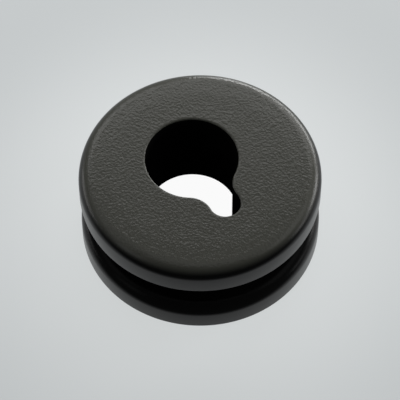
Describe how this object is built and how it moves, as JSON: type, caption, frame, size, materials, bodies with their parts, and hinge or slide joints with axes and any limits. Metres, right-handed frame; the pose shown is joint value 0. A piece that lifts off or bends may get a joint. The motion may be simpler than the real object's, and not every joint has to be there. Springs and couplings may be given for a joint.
{
  "type": "rubber grommet",
  "caption": "Round rubber grommet with an outer groove that snaps into a panel hole, and a keyhole passage right through it: a wide bore opening into a small lobe.",
  "frame": {"origin": "middle of the underside, on the axis of the flanges", "axes": "+Z along the axis of the flanges, out of the upper face; the small lobe lies 58.5 degrees clockwise from +X, seen from above"},
  "size_m": [0.025, 0.025, 0.0106],
  "materials": {
    "rubber": "matt black moulded rubber, with a fine grain on its flat faces and smoother, glossier outer edges"
  },
  "bodies": {
    "root": {"grommet": "rubber"}
  },
  "joints": []
}
